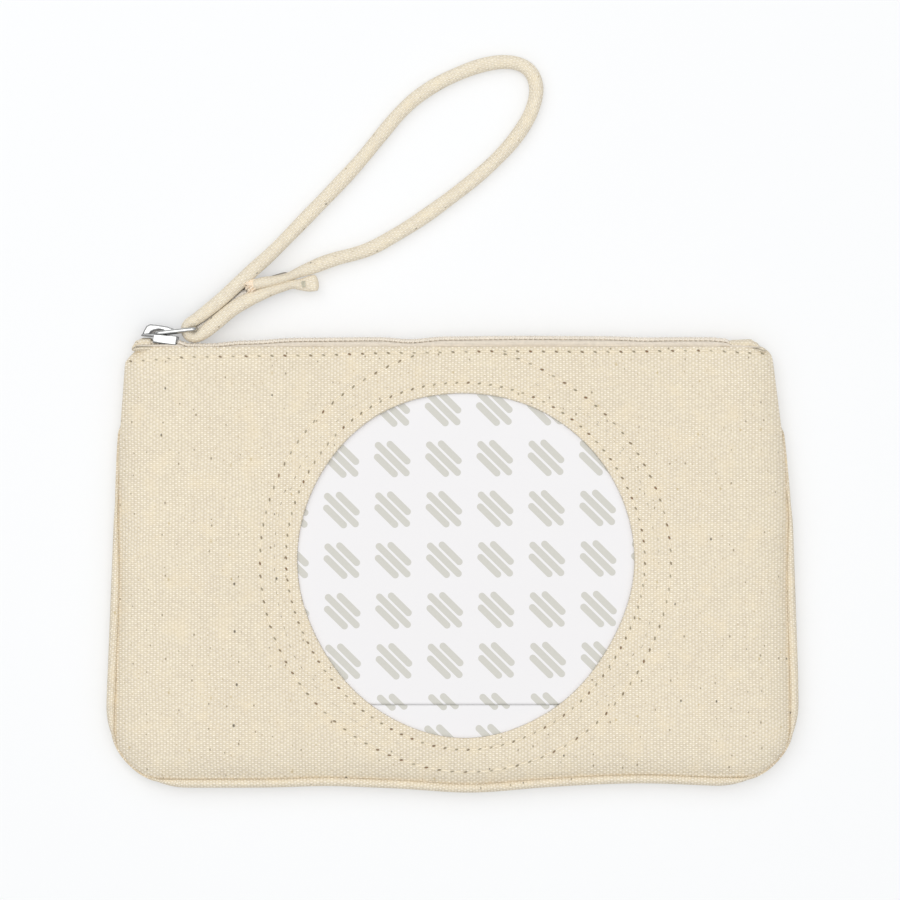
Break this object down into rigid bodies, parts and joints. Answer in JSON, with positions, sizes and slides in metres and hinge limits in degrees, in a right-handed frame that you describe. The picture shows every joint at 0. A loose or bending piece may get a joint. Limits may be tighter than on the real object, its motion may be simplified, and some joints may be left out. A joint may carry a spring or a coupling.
{
  "type": "zippered pouch",
  "caption": "Flat canvas wristlet pouch with a zip along its top edge, a round fabric wrist strap on the slider's ring and a round stitched window with peel-off paper.",
  "frame": {"origin": "middle of the back panel's outer face, where the pouch lies on a surface", "axes": "+X along the zip away from the closed slider, +Y from the bottom seam to the zip, +Z out of the front panel"},
  "size_m": [0.2083, 0.2201, 0.0119],
  "materials": {
    "canvas": "natural unbleached cotton canvas, plain weave with dark seed flecks",
    "zip_tape": "woven tape",
    "zip_coil": "nylon coil dyed to match the tape",
    "thread": "twisted sewing thread",
    "backing": "stiff interlining",
    "adhesive": "clear tacky film",
    "release_paper": "smooth coated release paper with a pale grey printed pattern",
    "nickel": "polished nickel plate",
    "spring_steel": "bare",
    "strap_fabric": "woven cotton tube"
  },
  "bodies": {
    "back": {"back_panel": "canvas", "zipper_tape_back": "zip_tape", "zipper_coil_back": "zip_coil", "zipper_top_stop_back": "nickel", "zipper_bottom_stop": "nickel", "zipper_end_tab_left": "canvas", "zipper_end_tab_right": "canvas", "thread_top_back": "thread", "thread_side_seam": "thread"},
    "front": {"front_panel": "canvas", "window_facing": "canvas", "insert_backing": "backing", "adhesive_sheet": "adhesive", "zipper_tape_front": "zip_tape", "zipper_coil_front": "zip_coil", "zipper_top_stop_front": "nickel", "thread_top_front": "thread", "thread_window_inner": "thread", "thread_window_outer": "thread"},
    "slider": {"slider_body": "nickel", "slider_cap": "nickel", "slider_lock_spring": "spring_steel"},
    "pull_ring": {"pull_ring": "nickel"},
    "pull_tab": {"pull_tab": "nickel"},
    "strap": {"wrist_strap": "strap_fabric", "strap_bartack": "thread"},
    "paper_upper": {"release_paper_upper": "release_paper"},
    "paper_lower": {"release_paper_lower": "release_paper"}
  },
  "joints": [
    {"name": "zip_slide", "type": "slide", "parent": "back", "child": "slider", "axis": [1, 0, 0], "range_m": [0, 0.16]},
    {"name": "mouth_opening", "type": "hinge", "parent": "back", "child": "front", "pos_m": [0, -0.063, 0.0056], "axis": [1, 0, 0], "range_deg": [0, 10.1], "deforming": ["zipper_tape_front", "zipper_coil_front"]},
    {"name": "ring_swing", "type": "hinge", "parent": "slider", "child": "pull_ring", "pos_m": [-0.0889, 0.0702, 0.0056], "axis": [0, 0, 1], "range_deg": [0, 115]},
    {"name": "tab_swing", "type": "hinge", "parent": "pull_ring", "child": "pull_tab", "pos_m": [-0.0777, 0.0715, 0.0056], "axis": [0, 0, 1], "range_deg": [-12, 20]},
    {"name": "strap_swing", "type": "hinge", "parent": "pull_ring", "child": "strap", "pos_m": [-0.0777, 0.0715, 0.0056], "axis": [0, 0, 1], "range_deg": [-12, 20]},
    {"name": "upper_paper_peel", "type": "slide", "parent": "front", "child": "paper_upper", "axis": [0, 0, 1], "range_m": [0, 0.03]},
    {"name": "lower_paper_peel", "type": "slide", "parent": "front", "child": "paper_lower", "axis": [0, 0, 1], "range_m": [0, 0.03]}
  ],
  "couplings": [
    {"joint": "mouth_opening", "follows": "zip_slide", "rad_per_m": 1.0908}
  ]
}
